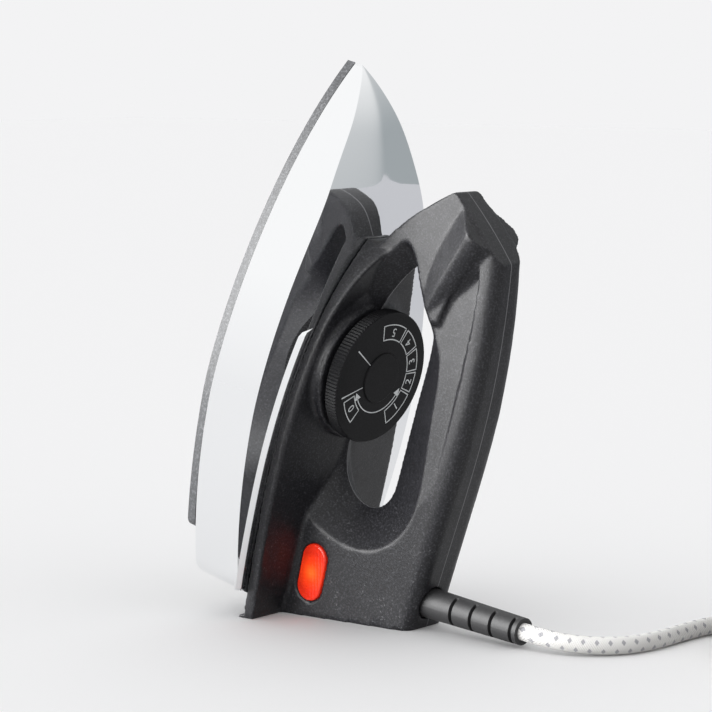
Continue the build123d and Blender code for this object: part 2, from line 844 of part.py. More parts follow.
with BuildPart() as silver_contacts:
    for foot in [spring_low + spring_thickness, spring_high - contact_height]:
        with BuildSketch(Plane.XY.offset(foot)):
            with Locations((-dial_place - contact_offset, 0)):
                Circle(contact_radius)
        extrude(amount=contact_height)

with BuildPart() as thermal_fuse:
    fuse_height = casting_top + fuse_radius + running_clearance
    fuse_middle = Plane(origin=(*fuse_place, fuse_height), z_dir=(1, 0, 0))
    with BuildSketch(fuse_middle):
        Circle(fuse_radius)
    extrude(amount=fuse_length / 2, both=True)
    with BuildSketch(fuse_middle):
        Circle(fuse_lead_radius)
    extrude(amount=fuse_length / 2 + fuse_lead_length, both=True)

# Rear closing plate: lies on the sole's rim and shuts the cover behind the casting
with BuildPart() as rear_closing_plate:
    add(plan_sketch(cover_plan, sole_rim, -cover_wall - seat_gap, cover_corner))
    extrude(amount=closing_plate)
    casting_rear = sole_length - casting_margin + seat_gap
    with Locations((-casting_rear - cover_length / 2, 0, sole_rim)):
        Box(cover_length, 4 * cover_half_width, 4 * sole_rim, mode=Mode.INTERSECT)

# Cord clamp across the cavity, and the leads from the block through the deck
clamp_plane = block_floor.offset(-clamp_height)
with BuildPart() as cord_clamp:
    with BuildSketch(block_floor):
        with Locations((clamp_place, 0)):
            Rectangle(clamp_length, 2 * cavity_half - 2)
    extrude(amount=-clamp_height)
    with BuildSketch(relief_root):
        Circle(cord_diameter / 2 + relief_bore_clearance)
    extrude(amount=-2 * cord_tail_in, mode=Mode.SUBTRACT)
    with BuildSketch(clamp_plane):
        with Locations((clamp_place, clamp_screw_half), (clamp_place, -clamp_screw_half)):
            Circle(clamp_screw_radius + screw_clearance)
    extrude(amount=clamp_height, mode=Mode.SUBTRACT)

with BuildPart() as clamp_screws:
    with BuildSketch(clamp_plane):
        with Locations((clamp_place, clamp_screw_half), (clamp_place, -clamp_screw_half)):
            Circle(clamp_screw_radius)
    extrude(amount=clamp_height)

wire_entry = heel.from_local_coords((cavity_middle - block_length / 2 - wire_end_gap, 0, wire_entry_depth))
heater_end = (-heater_rear - heater_pin_length - wire_end_gap, heater_half_gap, heater_height)
wire_ends = [
    [(-211.0, -20.0, 13.0), (heater_end[0], -heater_end[1], heater_end[2])],
    [(-198.0, -4.0, 20.0), (-178.0, -9.5, 17.0), (-166.0, -9.5, 17.0),
     (-stack_rear - wire_end_gap, -4.5, 17.0)],
    [(-211.0, 20.0, 13.0), heater_end],
]
with BuildPart() as lead_wires:
    for number, (side, end_points) in enumerate(zip(wire_entry_sides, wire_ends)):
        hole_side = (number - 1) * wire_hole_pitch
        through_hole = [(-wire_hole_place, hole_side, height) for height in wire_heights]
        points = [(wire_entry.X, side, wire_entry.Z), *through_hole, *end_points]
        with BuildLine() as run:
            FilletPolyline(*points, radius=wire_bend)
        with BuildSketch(Plane(origin=points[0], z_dir=Vector(*points[1]) - Vector(*points[0]))):
            Circle(wire_radius)
        sweep(path=run.line)

# Strain relief: a tapered sleeve with a collar in the heel, slit from both sides by turns
cord_radius = cord_diameter / 2
relief_side = Plane(origin=relief_root.origin, x_dir=relief_root.x_dir,
                    z_dir=relief_root.x_dir.cross(relief_root.z_dir))
with BuildPart() as strain_relief:
    with BuildSketch(relief_side):
        with BuildLine():
            bore = cord_radius + relief_bore_clearance
            Polyline((bore, 0), (relief_collar_radius, 0), (relief_collar_radius, relief_collar_width),
                     (relief_root_radius, relief_collar_width), (relief_end_radius, relief_length),
                     (bore, relief_length), close=True)
        make_face()
    revolve(axis=Axis(relief_root.origin, relief_root.z_dir))
    for slot in range(relief_slot_count):
        side = 1 if slot % 2 else -1
        with BuildSketch(relief_root.offset(relief_first_slot + slot * relief_slot_pitch)):
            with Locations((side * (relief_bridge + relief_root_radius), 0)):
                Rectangle(2 * relief_root_radius, 3 * relief_root_radius)
        extrude(amount=relief_slot_width, mode=Mode.SUBTRACT)

with BuildPart() as cord_in_relief:
    with BuildSketch(relief_root.offset(-cord_tail_in)):
        Circle(cord_radius)
    extrude(amount=cord_tail_in + relief_length)

# Standing frame: the box of the iron itself has its bottom centre at the origin
upright = Plane(origin=(0, 0, heel_reach * math.cos(lean)),
                x_dir=(math.sin(lean), 0, math.cos(lean)),
                z_dir=(math.cos(lean), 0, -math.sin(lean)))
stood = [piece.part.moved(upright.location).bounding_box() for piece in (soleplate, chrome_cover, handle)]
middle = (min(box.min.X for box in stood) + max(box.max.X for box in stood)) / 2
standing = Pos(-middle, 0, 0) * upright.location

# Cord from the relief along the floor to the coil, as straight runs with round bends
cord_exit = Plane(standing * relief_root.offset(relief_length).location)
exit_way = cord_exit.z_dir
coil_outer = coil_mean_radius + coil_turns_across * cord_radius
coil_inner = coil_mean_radius - coil_turns_across * cord_radius
coil_height = coil_layers * cord_diameter
coil_turn = math.radians(coil_entry_angle)
coil_start = coil_outer - cord_radius
coil_entry = Vector(coil_center[0] + coil_start * math.cos(coil_turn),
                    coil_center[1] + coil_start * math.sin(coil_turn), coil_lift + cord_radius)
cord_points = [
    cord_exit.origin,
    cord_exit.origin + exit_way * cord_first_run,
    Vector(100.2, -2.1, 4.5),
    Vector(109.9, 4.9, 3.9),
    Vector(116.6, 14.9, cord_floor),
    Vector(119.5, 28.6, cord_floor),
    Vector(119.9, 43.0, cord_floor),
    Vector(121.0, 57.4, cord_floor),
    Vector(125.0, 71.0, 3.8),
    Vector(132.4, 82.0, 4.0),
    Vector(143.5, 90.0, 4.3),
    Vector(158.5, 95.2, coil_entry.Z),
    coil_entry,
]


def bend_radii(points):
    """The radius of each bend, from the shorter run beside it and its turn."""
    radii = []
    for before, here, after in zip(points, points[1:], points[2:]):
        turn = (here - before).get_angle(after - here)
        run = min((here - before).length, (after - here).length)
        radii.append(bend_share * run / math.tan(math.radians(turn) / 2))
    return radii


def cord_run(points, clearance=0.0):
    """A stretch of cord along straight runs and round bends, or the room that it takes."""
    with BuildPart() as stretch:
        with BuildLine() as run:
            FilletPolyline(*points, radius=bend_radii(points))
        with BuildSketch(Plane(origin=points[0], z_dir=points[1] - points[0])):
            Circle(cord_radius + clearance)
        sweep(path=run.line)
    return stretch.part


with BuildPart() as power_cord:
    add(cord_run(cord_points))

# Tail from the coil's upper layer, over the turns, to the plug on top of the coil
coil_last = coil_inner + cord_radius
tail_points = []
for number, height in enumerate(tail_heights):
    turn = math.radians(tail_start - number * tail_step)
    tail_points.append(Vector(coil_center[0] + coil_last * math.cos(turn),
                              coil_center[1] + coil_last * math.sin(turn), height))
with BuildPart() as cord_tail:
    add(cord_run(tail_points))

# Coil of the rest of the cord, with room for the cord that runs in and the tail that leaves
coil_axis = Axis((*coil_center, 0), (0, 0, 1))
coil_side = Plane(origin=(*coil_center, coil_lift), x_dir=(1, 0, 0), z_dir=(0, -1, 0))
with BuildPart() as cord_coil:
    with BuildSketch(coil_side):
        with Locations((coil_mean_radius, coil_height / 2)):
            RectangleRounded(coil_outer - coil_inner, coil_height, cord_radius - seat_gap)
    revolve(axis=coil_axis)
    add(cord_run(cord_points[-4:], seat_gap), mode=Mode.SUBTRACT)
    add(cord_run(tail_points, seat_gap), mode=Mode.SUBTRACT)

tie_turn = math.radians(tie_angle)
tie_out = Vector(math.cos(tie_turn), math.sin(tie_turn), 0)
tie_plane = Plane(origin=Vector(*coil_center, coil_lift + coil_height / 2) + tie_out * coil_mean_radius,
                  x_dir=tie_out, z_dir=tie_out.cross(Vector(0, 0, 1)))
with BuildPart() as coil_tie:
    tie_across = coil_outer - coil_inner + 2 * tie_sag
    tie_up = coil_height + 2 * tie_slack
    with BuildSketch(tie_plane):
        RectangleRounded(tie_across + 2 * tie_thickness, tie_up + 2 * tie_thickness, cord_radius)
        RectangleRounded(tie_across, tie_up, cord_radius - tie_thickness, mode=Mode.SUBTRACT)
    extrude(amount=tie_width / 2, both=True)

# Plug on the coil
plug_way = (tail_points[-1] - tail_points[-2]).normalized()
plug_root = Plane(origin=tail_points[-1], x_dir=(-plug_way.Y, plug_way.X, 0), z_dir=plug_way)
with BuildPart() as plug_body:
    with BuildSketch(plug_root):
        RectangleRounded(plug_neck, plug_neck, plug_corner)
    with BuildSketch(plug_root.offset(plug_shoulder)):
        RectangleRounded(plug_shoulder_width, plug_shoulder_height, plug_corner)
    with BuildSketch(plug_root.offset(plug_length)):
        RectangleRounded(plug_width, plug_height, plug_corner)
    loft()

with BuildPart() as plug_pins:
    with BuildSketch(plug_root.offset(plug_length)):
        with Locations((pin_spacing / 2, 0), (-pin_spacing / 2, 0)):
            Rectangle(pin_thickness, pin_width)
    extrude(amount=pin_length)

# Files: the iron's own pieces are stood up, the lead's loose pieces already lie in that frame
iron_pieces = {
    "soleplate": soleplate,
    "heating_element": heating_element,
    "heater_terminals": heater_terminals,
    "thermostat_frame": thermostat_frame,
    "thermostat_insulators": thermostat_insulators,
    "bimetal_blade": bimetal_blade,
    "contact_springs": contact_springs,
    "silver_contacts": silver_contacts,
    "stack_rivet": stack_rivet,
    "thermal_fuse": thermal_fuse,
    "rear_closing_plate": rear_closing_plate,
    "chrome_cover": chrome_cover,
    "cover_screws": cover_screws,
    "handle": handle,
    "handle_screws": handle_screws,
    "dial_knob": dial_knob,
    "dial_cap": dial_cap,
    "dial_spindle": dial_spindle,
    "dial_spring": dial_spring,
    "rear_cover": rear_cover,
    "rear_cover_screw": rear_cover_screw,
    "terminal_block": terminal_block,
    "terminal_screws": terminal_screws,
    "cord_clamp": cord_clamp,
    "clamp_screws": clamp_screws,
    "lead_wires": lead_wires,
    "lamp_lens": lamp_lens,
    "neon_lamp": neon_lamp,
    "lamp_holder": lamp_holder,
    "strain_relief": strain_relief,
    "cord_in_relief": cord_in_relief,
}
lead_pieces = {
    "power_cord": power_cord,
    "cord_coil": cord_coil,
    "coil_tie": coil_tie,
    "cord_tail": cord_tail,
    "plug_body": plug_body,
    "plug_pins": plug_pins,
}
os.makedirs("parts", exist_ok=True)
for name, piece in iron_pieces.items():
    piece.part.label = name
    stood_piece = piece.part.moved(standing)
    stood_piece.label = name
    export_step(stood_piece, f"parts/{name}.step")
for name, piece in lead_pieces.items():
    piece.part.label = name
    export_step(piece.part, f"parts/{name}.step")
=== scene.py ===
# Dry clothes iron on its heel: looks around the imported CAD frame, in metres
import bisect
import math

import bmesh
import bpy
import numpy
from mathutils import Matrix, Vector, geometry


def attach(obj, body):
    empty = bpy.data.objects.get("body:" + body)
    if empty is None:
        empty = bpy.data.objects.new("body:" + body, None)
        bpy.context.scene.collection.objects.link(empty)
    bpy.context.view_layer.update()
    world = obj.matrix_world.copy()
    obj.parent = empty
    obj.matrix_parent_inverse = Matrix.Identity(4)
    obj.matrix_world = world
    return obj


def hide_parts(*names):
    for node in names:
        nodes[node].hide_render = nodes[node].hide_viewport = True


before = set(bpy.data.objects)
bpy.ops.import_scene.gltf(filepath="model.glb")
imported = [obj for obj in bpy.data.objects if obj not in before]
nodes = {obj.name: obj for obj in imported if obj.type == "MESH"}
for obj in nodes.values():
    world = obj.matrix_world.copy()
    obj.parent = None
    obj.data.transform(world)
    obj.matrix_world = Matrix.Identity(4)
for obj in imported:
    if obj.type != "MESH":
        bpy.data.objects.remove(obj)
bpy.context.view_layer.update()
print("frame loaded:", len(nodes), "nodes")

# The iron is drawn lying on its sole in mm, nose tip at the origin, and then stood on its heel
stand = {"lean": math.radians(14.0), "heelReach": 240.1, "middle": 17.286}
standing = Matrix((
    (math.sin(stand["lean"]), 0, math.cos(stand["lean"]), -stand["middle"]),
    (0, -1, 0, 0),
    (math.cos(stand["lean"]), 0, -math.sin(stand["lean"]), stand["heelReach"] * math.cos(stand["lean"])),
    (0, 0, 0, 1),
))
toStand = Matrix.Scale(0.001, 4) @ standing


def linear(hexText):
    # sRGB hex to the linear colour that sockets take
    parts = [int(hexText[i:i + 2], 16) / 255 for i in (1, 3, 5)]
    return tuple(c / 12.92 if c <= 0.04045 else ((c + 0.055) / 1.055) ** 2.4 for c in parts) + (1.0,)


def addNode(tree, kind, settings=None, inputs=None, stops=None):
    # one node with its settings and links: an input is a value or another node's output socket, and stops are
    # a ramp's places and colours. A Mix node's colours are its inputs 6 and 7, and their mix is its output 2
    node = tree.nodes.new(kind)
    for name, value in (settings or {}).items():
        setattr(node, name, value)
    for name, value in (inputs or {}).items():
        if isinstance(value, bpy.types.NodeSocket):
            tree.links.new(value, node.inputs[name])
        else:
            node.inputs[name].default_value = value
    if stops:
        elements = node.color_ramp.elements
        while len(elements) < len(stops):
            elements.new(0.5)
        for element, (place, colour) in zip(elements, stops):
            element.position = place
            element.color = colour
    return node


def newMaterial(name):
    material = bpy.data.materials.new(name)
    material.use_nodes = True
    tree = material.node_tree
    tree.nodes.clear()
    shader = addNode(tree, "ShaderNodeBsdfPrincipled")
    addNode(tree, "ShaderNodeOutputMaterial", None, {"Surface": shader.outputs["BSDF"]})
    return material, tree, shader


def perMetre(millimetres):
    # pattern scale whose cells are about that many millimetres
    return 1000.0 / millimetres


def looking(place, target):
    # rotation of a camera or a lamp that looks from a place at its target
    return (Vector(target) - Vector(place)).to_track_quat("-Z", "Y").to_euler()


def newPiece(name, bm, material, body, smooth=True):
    mesh = bpy.data.meshes.new(name)
    bm.to_mesh(mesh)
    bm.free()
    piece = bpy.data.objects.new(name, mesh)
    bpy.context.scene.collection.objects.link(piece)
    mesh.materials.append(material)
    for face in mesh.polygons:
        face.use_smooth = smooth
    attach(piece, body)
    return piece


def setMaterial(name, material):
    for slot in nodes[name].material_slots:
        slot.material = material


# Camera at the photograph's place
cameraSpec = {"place": (0.6473, -0.8067, 0.2353), "target": (-0.0130, 0.0, 0.1101), "focalPixels": 2513.0,
              "framePixels": 712, "sensor": 36.0, "clip": (0.01, 50.0)}
cameraData = bpy.data.cameras.new("camera")
cameraData.sensor_width = cameraSpec["sensor"]
cameraData.lens = cameraSpec["sensor"] * cameraSpec["focalPixels"] / cameraSpec["framePixels"]
cameraData.clip_start, cameraData.clip_end = cameraSpec["clip"]
camera = bpy.data.objects.new("camera", cameraData)
camera.location = cameraSpec["place"]
camera.rotation_euler = looking(cameraSpec["place"], cameraSpec["target"])
bpy.context.scene.collection.objects.link(camera)
bpy.context.scene.camera = camera
print("camera set")

# Floor: pale paper, with a painted reflection: beyond the iron it turns grey only in what shiny pieces
# mirror, which darkens their reflections
floorSpec = {"half": 6.0, "colour": "#f7f7f7", "mirrored": "#cacbcf", "paintedReflectionFade": 0.5}
floorMaterial, tree, shader = newMaterial("pale studio paper")
light = addNode(tree, "ShaderNodeLightPath")
where = addNode(tree, "ShaderNodeTexCoord")
apart = addNode(tree, "ShaderNodeSeparateXYZ", None, {"Vector": where.outputs["Object"]})
# painted reflection: the paper turns grey beyond the iron, for glossy rays only
beyond = addNode(tree, "ShaderNodeMapRange", {"interpolation_type": "SMOOTHSTEP"},
                 {"Value": apart.outputs["Y"], "From Min": 0.0, "From Max": floorSpec["paintedReflectionFade"]})
paintedReflectionFade = addNode(tree, "ShaderNodeMath", {"operation": "MULTIPLY"},
                  {0: beyond.outputs[0], 1: light.outputs["Is Glossy Ray"]})
paper = addNode(tree, "ShaderNodeMix", {"data_type": "RGBA"},
                {0: paintedReflectionFade.outputs[0], 6: linear(floorSpec["colour"]), 7: linear(floorSpec["mirrored"])})
tree.links.new(paper.outputs[2], shader.inputs["Base Color"])
shader.inputs["Roughness"].default_value = 0.85
shader.inputs["Specular IOR Level"].default_value = 0.2
bm = bmesh.new()
bmesh.ops.create_grid(bm, x_segments=1, y_segments=1, size=floorSpec["half"])
floorMesh = bpy.data.meshes.new("floor")
bm.to_mesh(floorMesh)
bm.free()
floorMesh.materials.append(floorMaterial)
floor = bpy.data.objects.new("floor", floorMesh)
bpy.context.scene.collection.objects.link(floor)

# Room: plain behind the iron, and as shiny pieces mirror it white, with grey low on the far side
roomSpec = {"back": "#f3f3f4", "top": "#ffffff", "topHeight": 0.35, "side": "#a2a8ab",
            "sideWay": (0.1, 0.99, 0.0), "sideSpread": 0.9, "sideHeights": (0.9, 0.1),
            "fill": "#fefeff", "fillStrength": 0.97}
world = bpy.data.worlds.new("studio")
bpy.context.scene.world = world
world.use_nodes = True
tree = world.node_tree
tree.nodes.clear()
light = addNode(tree, "ShaderNodeLightPath")
seen = addNode(tree, "ShaderNodeMath", {"operation": "MAXIMUM"},
               {0: light.outputs["Is Camera Ray"], 1: light.outputs["Is Transmission Ray"]})
where = addNode(tree, "ShaderNodeTexCoord")
apart = addNode(tree, "ShaderNodeSeparateXYZ", None, {"Vector": where.outputs["Generated"]})
aside = addNode(tree, "ShaderNodeVectorMath", {"operation": "DOT_PRODUCT"},
                {0: where.outputs["Generated"], 1: roomSpec["sideWay"]})
behind = addNode(tree, "ShaderNodeMapRange", {"interpolation_type": "SMOOTHSTEP"},
                 {"Value": aside.outputs["Value"], "From Min": 0.0, "From Max": roomSpec["sideSpread"]})
highest, lowest = roomSpec["sideHeights"]
low = addNode(tree, "ShaderNodeMapRange", {"interpolation_type": "SMOOTHSTEP"},
              {"Value": apart.outputs["Z"], "From Min": highest, "From Max": lowest})
grey = addNode(tree, "ShaderNodeMath", {"operation": "MULTIPLY"}, {0: behind.outputs[0], 1: low.outputs[0]})
height = addNode(tree, "ShaderNodeMapRange", None,
                 {"Value": apart.outputs["Z"], "From Min": 0.0, "From Max": roomSpec["topHeight"]})
white = addNode(tree, "ShaderNodeValToRGB", None, {"Fac": height.outputs[0]},
                [(0.0, linear(roomSpec["back"])), (1.0, linear(roomSpec["top"]))])
room = addNode(tree, "ShaderNodeMix", {"data_type": "RGBA"},
               {0: grey.outputs[0], 6: white.outputs["Color"], 7: linear(roomSpec["side"])})
fill = addNode(tree, "ShaderNodeBackground", None,
               {"Color": linear(roomSpec["fill"]), "Strength": roomSpec["fillStrength"]})
mirrored = addNode(tree, "ShaderNodeBackground", None, {"Color": room.outputs[2], "Strength": 1.0})
back = addNode(tree, "ShaderNodeBackground", None, {"Color": linear(roomSpec["back"]), "Strength": 1.0})
mix = addNode(tree, "ShaderNodeMixShader", None,
              {0: light.outputs["Is Glossy Ray"], 1: fill.outputs[0], 2: mirrored.outputs[0]})
mix = addNode(tree, "ShaderNodeMixShader", None, {0: seen.outputs[0], 1: mix.outputs[0], 2: back.outputs[0]})
addNode(tree, "ShaderNodeOutputWorld", None, {"Surface": mix.outputs[0]})

# Lamps: they shape the dark mouldings and leave out the chrome, which mirrors the room, and the paper
softboxes = {
    "key": {"place": (-0.85, -1.10, 0.55), "target": (0.0, 0.0, 0.10), "size": 1.3, "power": 72.0},
    "side": {"place": (0.05, -1.30, 0.30), "target": (0.0, 0.0, 0.08), "size": 0.9, "power": 12.0},
    "top": {"place": (0.25, 0.15, 1.60), "target": (0.0, 0.0, 0.05), "size": 1.4, "power": 4.0},
    "rim": {"place": (0.95, 0.85, 0.75), "target": (0.0, 0.0, 0.12), "size": 0.8, "power": 1.5},
}
lampless = bpy.data.collections.new("lampless")
for name, spec in softboxes.items():
    data = bpy.data.lights.new(name, "AREA")
    data.size = spec["size"]
    data.energy = spec["power"]
    lamp = bpy.data.objects.new(name, data)
    lamp.location = spec["place"]
    lamp.rotation_euler = looking(spec["place"], spec["target"])
    bpy.context.scene.collection.objects.link(lamp)
    lamp.light_linking.receiver_collection = lampless
print("stage and lights set")

# Materials
# Mirror chrome on drawn steel: a clean mirror, very slightly soft
chrome, tree, shader = newMaterial("mirror chrome plate")
shader.inputs["Base Color"].default_value = linear("#f7f8f9")
shader.inputs["Metallic"].default_value = 1.0
shader.inputs["Roughness"].default_value = 0.035

# Non-stick coat on cast aluminium: dark grey with pale and dark grit of under a millimetre
nonStick, tree, shader = newMaterial("speckled non-stick coat")
where = addNode(tree, "ShaderNodeTexCoord")
grit = addNode(tree, "ShaderNodeTexNoise", None,
               {"Vector": where.outputs["Object"], "Scale": perMetre(0.9), "Detail": 3.0, "Roughness": 0.7})
tone = addNode(tree, "ShaderNodeValToRGB", None, {"Fac": grit.outputs["Fac"]},
               [(0.36, linear("#262729")), (0.55, linear("#38393b")), (0.68, linear("#57585b"))])
tree.links.new(tone.outputs["Color"], shader.inputs["Base Color"])
shader.inputs["Roughness"].default_value = 0.5
bump = addNode(tree, "ShaderNodeBump", None,
               {"Height": grit.outputs["Fac"], "Strength": 0.25, "Distance": 0.0002})
tree.links.new(bump.outputs["Normal"], shader.inputs["Normal"])

# Moulded phenolic, satin: near black with fine pale grain, dust scuffs low on the heel, and down the middle
# the mould's parting line, about 0.4 mm wide
phenolicSpec = {"dustTop": 0.075, "dustFull": 0.015, "dust": 0.55, "dustColour": "#8c8c8e",
                "partingEdge": 0.00030, "partingFull": 0.00012, "parting": 0.5, "partingColour": "#7d7d80",
                "roughness": (0.36, 0.46)}
phenolic, tree, shader = newMaterial("moulded black phenolic")
where = addNode(tree, "ShaderNodeTexCoord")
grain = addNode(tree, "ShaderNodeTexNoise", None,
                {"Vector": where.outputs["Object"], "Scale": perMetre(0.8), "Detail": 2.0, "Roughness": 0.65})
cloud = addNode(tree, "ShaderNodeTexNoise", None,
                {"Vector": where.outputs["Object"], "Scale": perMetre(18.0), "Detail": 4.0, "Roughness": 0.6})
scuff = addNode(tree, "ShaderNodeTexNoise", None,
                {"Vector": where.outputs["Object"], "Scale": perMetre(1.6), "Detail": 5.0, "Roughness": 0.75})
tone = addNode(tree, "ShaderNodeValToRGB", None, {"Fac": grain.outputs["Fac"]},
               [(0.30, linear("#0d0d0e")), (0.52, linear("#17171a")), (0.70, linear("#2e2e31"))])
scuffed = addNode(tree, "ShaderNodeMapRange", None,
                  {"Value": scuff.outputs["Fac"], "From Min": 0.60, "From Max": 0.74})
patch = addNode(tree, "ShaderNodeMapRange", None,
                {"Value": cloud.outputs["Fac"], "From Min": 0.45, "From Max": 0.62})
apart = addNode(tree, "ShaderNodeSeparateXYZ", None, {"Vector": where.outputs["Object"]})
low = addNode(tree, "ShaderNodeMapRange", None,
              {"Value": apart.outputs["Z"], "From Min": phenolicSpec["dustTop"],
               "From Max": phenolicSpec["dustFull"], "To Min": 0.0, "To Max": phenolicSpec["dust"]})
dust = addNode(tree, "ShaderNodeMath", {"operation": "MULTIPLY"}, {0: scuffed.outputs[0], 1: low.outputs[0]})
dust = addNode(tree, "ShaderNodeMath", {"operation": "MULTIPLY"}, {0: dust.outputs[0], 1: patch.outputs[0]})
dusty = addNode(tree, "ShaderNodeMix", {"data_type": "RGBA"},
                {0: dust.outputs[0], 6: tone.outputs["Color"], 7: linear(phenolicSpec["dustColour"])})
offMiddle = addNode(tree, "ShaderNodeMath", {"operation": "ABSOLUTE"}, {0: apart.outputs["Y"]})
parting = addNode(tree, "ShaderNodeMapRange", None,
                  {"Value": offMiddle.outputs[0], "From Min": phenolicSpec["partingEdge"],
                   "From Max": phenolicSpec["partingFull"], "To Min": 0.0, "To Max": phenolicSpec["parting"]})
lined = addNode(tree, "ShaderNodeMix", {"data_type": "RGBA"},
                {0: parting.outputs[0], 6: dusty.outputs[2], 7: linear(phenolicSpec["partingColour"])})
tree.links.new(lined.outputs[2], shader.inputs["Base Color"])
smoothest, roughest = phenolicSpec["roughness"]
satin = addNode(tree, "ShaderNodeMapRange", None,
                {"Value": cloud.outputs["Fac"], "From Min": 0.3, "From Max": 0.7, "To Min": smoothest,
                 "To Max": roughest})
tree.links.new(satin.outputs[0], shader.inputs["Roughness"])
shader.inputs["Specular IOR Level"].default_value = 0.28
bump = addNode(tree, "ShaderNodeBump", None,
               {"Height": grain.outputs["Fac"], "Strength": 0.22, "Distance": 0.0002})
tree.links.new(bump.outputs["Normal"], shader.inputs["Normal"])

# Moulded dial: black, with less shine than the handle
dialBlack, tree, shader = newMaterial("satin black dial moulding")
where = addNode(tree, "ShaderNodeTexCoord")
grain = addNode(tree, "ShaderNodeTexNoise", None,
                {"Vector": where.outputs["Object"], "Scale": perMetre(0.7), "Detail": 2.0})
tone = addNode(tree, "ShaderNodeValToRGB", None, {"Fac": grain.outputs["Fac"]},
               [(0.35, linear("#0c0c0d")), (0.70, linear("#161618"))])
tree.links.new(tone.outputs["Color"], shader.inputs["Base Color"])
shader.inputs["Roughness"].default_value = 0.5
shader.inputs["Specular IOR Level"].default_value = 0.12
bump = addNode(tree, "ShaderNodeBump", None,
               {"Height": grain.outputs["Fac"], "Strength": 0.08, "Distance": 0.0002})
tree.links.new(bump.outputs["Normal"], shader.inputs["Normal"])

# Pad-printed ink: pale grey, matt
ink, tree, shader = newMaterial("pale grey pad print")
where = addNode(tree, "ShaderNodeTexCoord")
wear = addNode(tree, "ShaderNodeTexNoise", None,
               {"Vector": where.outputs["Object"], "Scale": perMetre(0.6), "Detail": 2.0})
tone = addNode(tree, "ShaderNodeValToRGB", None, {"Fac": wear.outputs["Fac"]},
               [(0.3, linear("#a6aaab")), (0.6, linear("#c6c9ca"))])
tree.links.new(tone.outputs["Color"], shader.inputs["Base Color"])
shader.inputs["Roughness"].default_value = 0.6

# Clear red-orange acrylic with moulded dots, and a painted glow: its middle is painted brighter and emits
# light, as if the lamp behind it were lit
lensSpec = {"centre": (-209.0, 16.0, 45.2), "paintedGlowRadii": (0.0085, 0.001), "paintedGlow": (0.16, 0.42),
            "dotPitch": 1.6}
lensRed, tree, shader = newMaterial("red-orange acrylic lens")
where = addNode(tree, "ShaderNodeTexCoord")
shift = addNode(tree, "ShaderNodeVectorMath", {"operation": "DISTANCE"},
                {0: where.outputs["Object"], 1: tuple(toStand @ Vector(lensSpec["centre"]))})
outside, inside = lensSpec["paintedGlowRadii"]
# painted glow: brighter colour and emission towards the lens's middle
paintedGlow = addNode(tree, "ShaderNodeMapRange", None,
               {"Value": shift.outputs["Value"], "From Min": outside, "From Max": inside})
tone = addNode(tree, "ShaderNodeValToRGB", None, {"Fac": paintedGlow.outputs[0]},
               [(0.0, linear("#cc2a14")), (0.6, linear("#e63c13")), (1.0, linear("#f6581c"))])
tree.links.new(tone.outputs["Color"], shader.inputs["Base Color"])
shader.inputs["Roughness"].default_value = 0.16
shader.inputs["Transmission Weight"].default_value = 0.25
shader.inputs["IOR"].default_value = 1.49
dim, bright = lensSpec["paintedGlow"]
# strength of the painted glow's emission
paintedGlowStrength = addNode(tree, "ShaderNodeMapRange", None, {"Value": paintedGlow.outputs[0], "To Min": dim, "To Max": bright})
tree.links.new(paintedGlowStrength.outputs[0], shader.inputs["Emission Strength"])
tree.links.new(tone.outputs["Color"], shader.inputs["Emission Color"])
dots = addNode(tree, "ShaderNodeTexVoronoi", {"feature": "F1"},
               {"Vector": where.outputs["Object"], "Scale": perMetre(lensSpec["dotPitch"]),
                "Randomness": 0.0})
bump = addNode(tree, "ShaderNodeBump", None,
               {"Height": dots.outputs["Distance"], "Strength": 0.35, "Distance": 0.0004})
tree.links.new(bump.outputs["Normal"], shader.inputs["Normal"])

# Moulded rubber: black, matt
rubber, tree, shader = newMaterial("moulded black rubber")
where = addNode(tree, "ShaderNodeTexCoord")
grain = addNode(tree, "ShaderNodeTexNoise", None,
                {"Vector": where.outputs["Object"], "Scale": perMetre(0.6), "Detail": 3.0})
tone = addNode(tree, "ShaderNodeValToRGB", None, {"Fac": grain.outputs["Fac"]},
               [(0.3, linear("#161617")), (0.7, linear("#262627"))])
tree.links.new(tone.outputs["Color"], shader.inputs["Base Color"])
shader.inputs["Roughness"].default_value = 0.55
bump = addNode(tree, "ShaderNodeBump", None,
               {"Height": grain.outputs["Fac"], "Strength": 0.12, "Distance": 0.0002})
tree.links.new(bump.outputs["Normal"], shader.inputs["Normal"])

# Plain metals and mouldings, most of them inside: colour, metallic, roughness and the mottle's size in mm
plainSpec = {
    "zinc-plated steel": ("#b9bab6", 1.0, 0.38, 2.0),
    "oxidised heater sheath": ("#6e6862", 1.0, 0.55, 3.0),
    "rolled brass": ("#c8a45a", 1.0, 0.32, 2.5),
    "fired steatite": ("#e4dfd2", 0.0, 0.70, 0.8),
    "brown phenolic": ("#4a3226", 0.0, 0.48, 1.2),
    "silicone sleeve": ("#dcdad2", 0.0, 0.62, 1.0),
    "clear lamp glass": ("#f3ddc8", 0.0, 0.05, 4.0),
    "nylon tie": ("#232324", 0.0, 0.50, 1.0),
    "nickel-plated brass": ("#cfc6ae", 1.0, 0.22, 3.0),
}
plainShade = 0.82  # of the darker spots
plain = {}
for name, (hexText, metallic, roughness, cell) in plainSpec.items():
    material, tree, shader = newMaterial(name)
    where = addNode(tree, "ShaderNodeTexCoord")
    mottle = addNode(tree, "ShaderNodeTexNoise", None,
                     {"Vector": where.outputs["Object"], "Scale": perMetre(cell), "Detail": 3.0})
    base = linear(hexText)
    darker = tuple(c * plainShade for c in base[:3]) + (1.0,)
    tone = addNode(tree, "ShaderNodeValToRGB", None, {"Fac": mottle.outputs["Fac"]},
                   [(0.3, darker), (0.7, base)])
    tree.links.new(tone.outputs["Color"], shader.inputs["Base Color"])
    shader.inputs["Metallic"].default_value = metallic
    shader.inputs["Roughness"].default_value = roughness
    if name == "clear lamp glass":
        shader.inputs["Transmission Weight"].default_value = 0.85
    plain[name] = material

